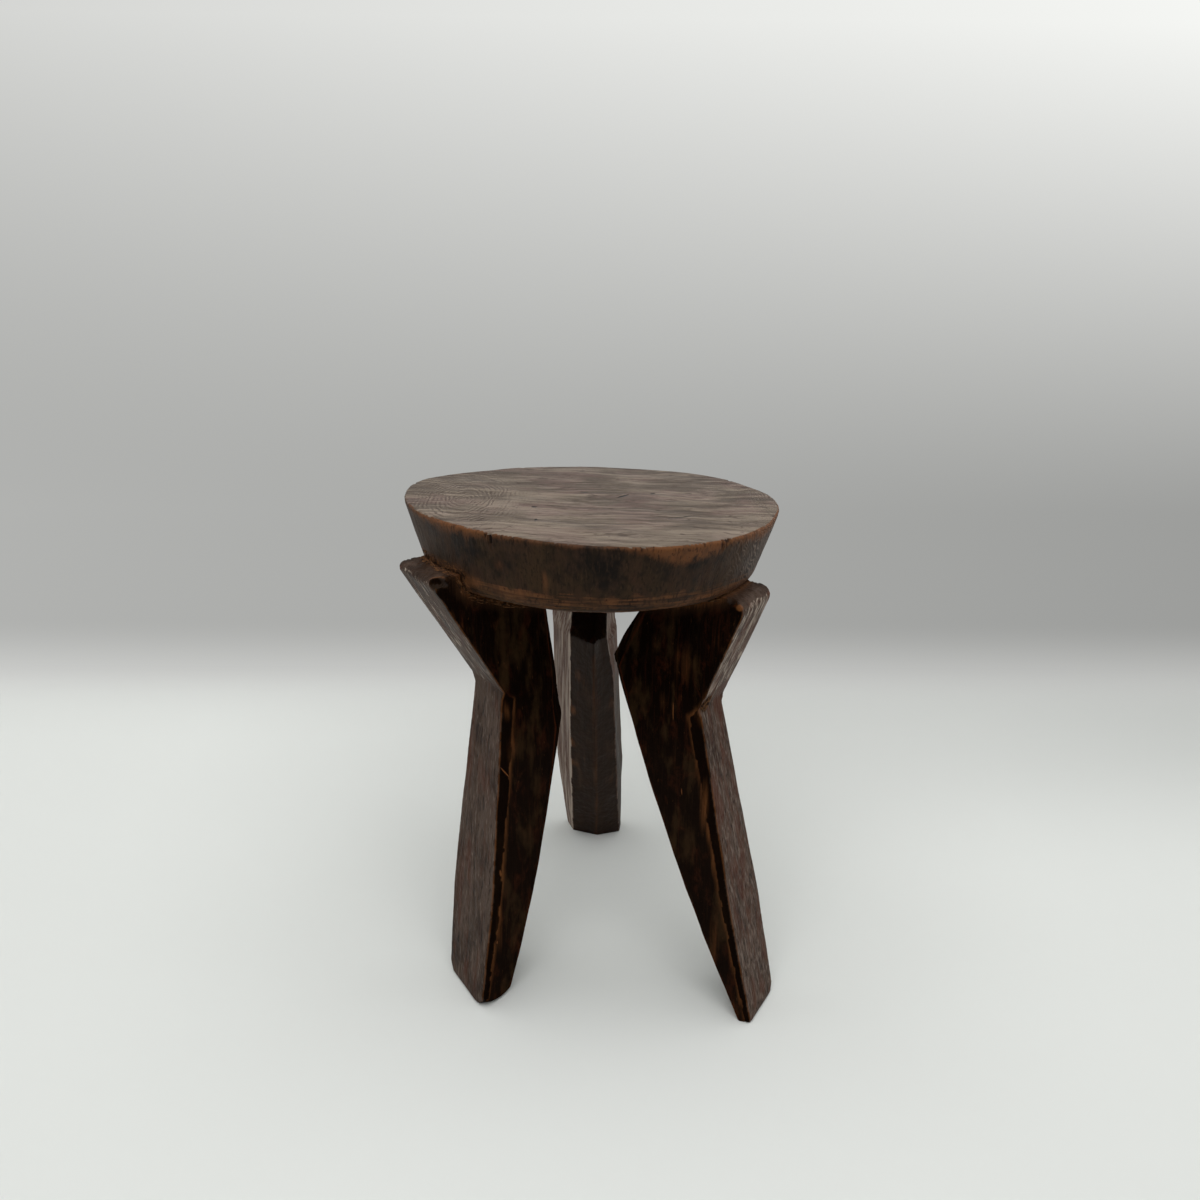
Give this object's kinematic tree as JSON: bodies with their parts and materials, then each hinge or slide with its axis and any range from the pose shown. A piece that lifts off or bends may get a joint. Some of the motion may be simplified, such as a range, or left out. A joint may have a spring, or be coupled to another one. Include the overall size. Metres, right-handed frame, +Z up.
{
  "type": "round wooden stool",
  "caption": "Low round wooden stool with a thick seat drawn in under its rim and chevron legs whose shoulders stand out beside the seat",
  "frame": {"origin": "on the floor, under the middle of the stool's bounding box", "axes": "+Z up, +X to the right as the picture shows it, +Y to the back"},
  "size_m": [0.2411, 0.2589, 0.3349],
  "materials": {
    "seat_wood": "old smoke-darkened hardwood, the top worn to a low sheen",
    "leg_wood": "old smoke-darkened hardwood, edges worn red-brown"
  },
  "bodies": {
    "root": {"seat": "seat_wood", "left_leg": "leg_wood", "right_leg": "leg_wood", "back_leg": "leg_wood"}
  },
  "joints": []
}
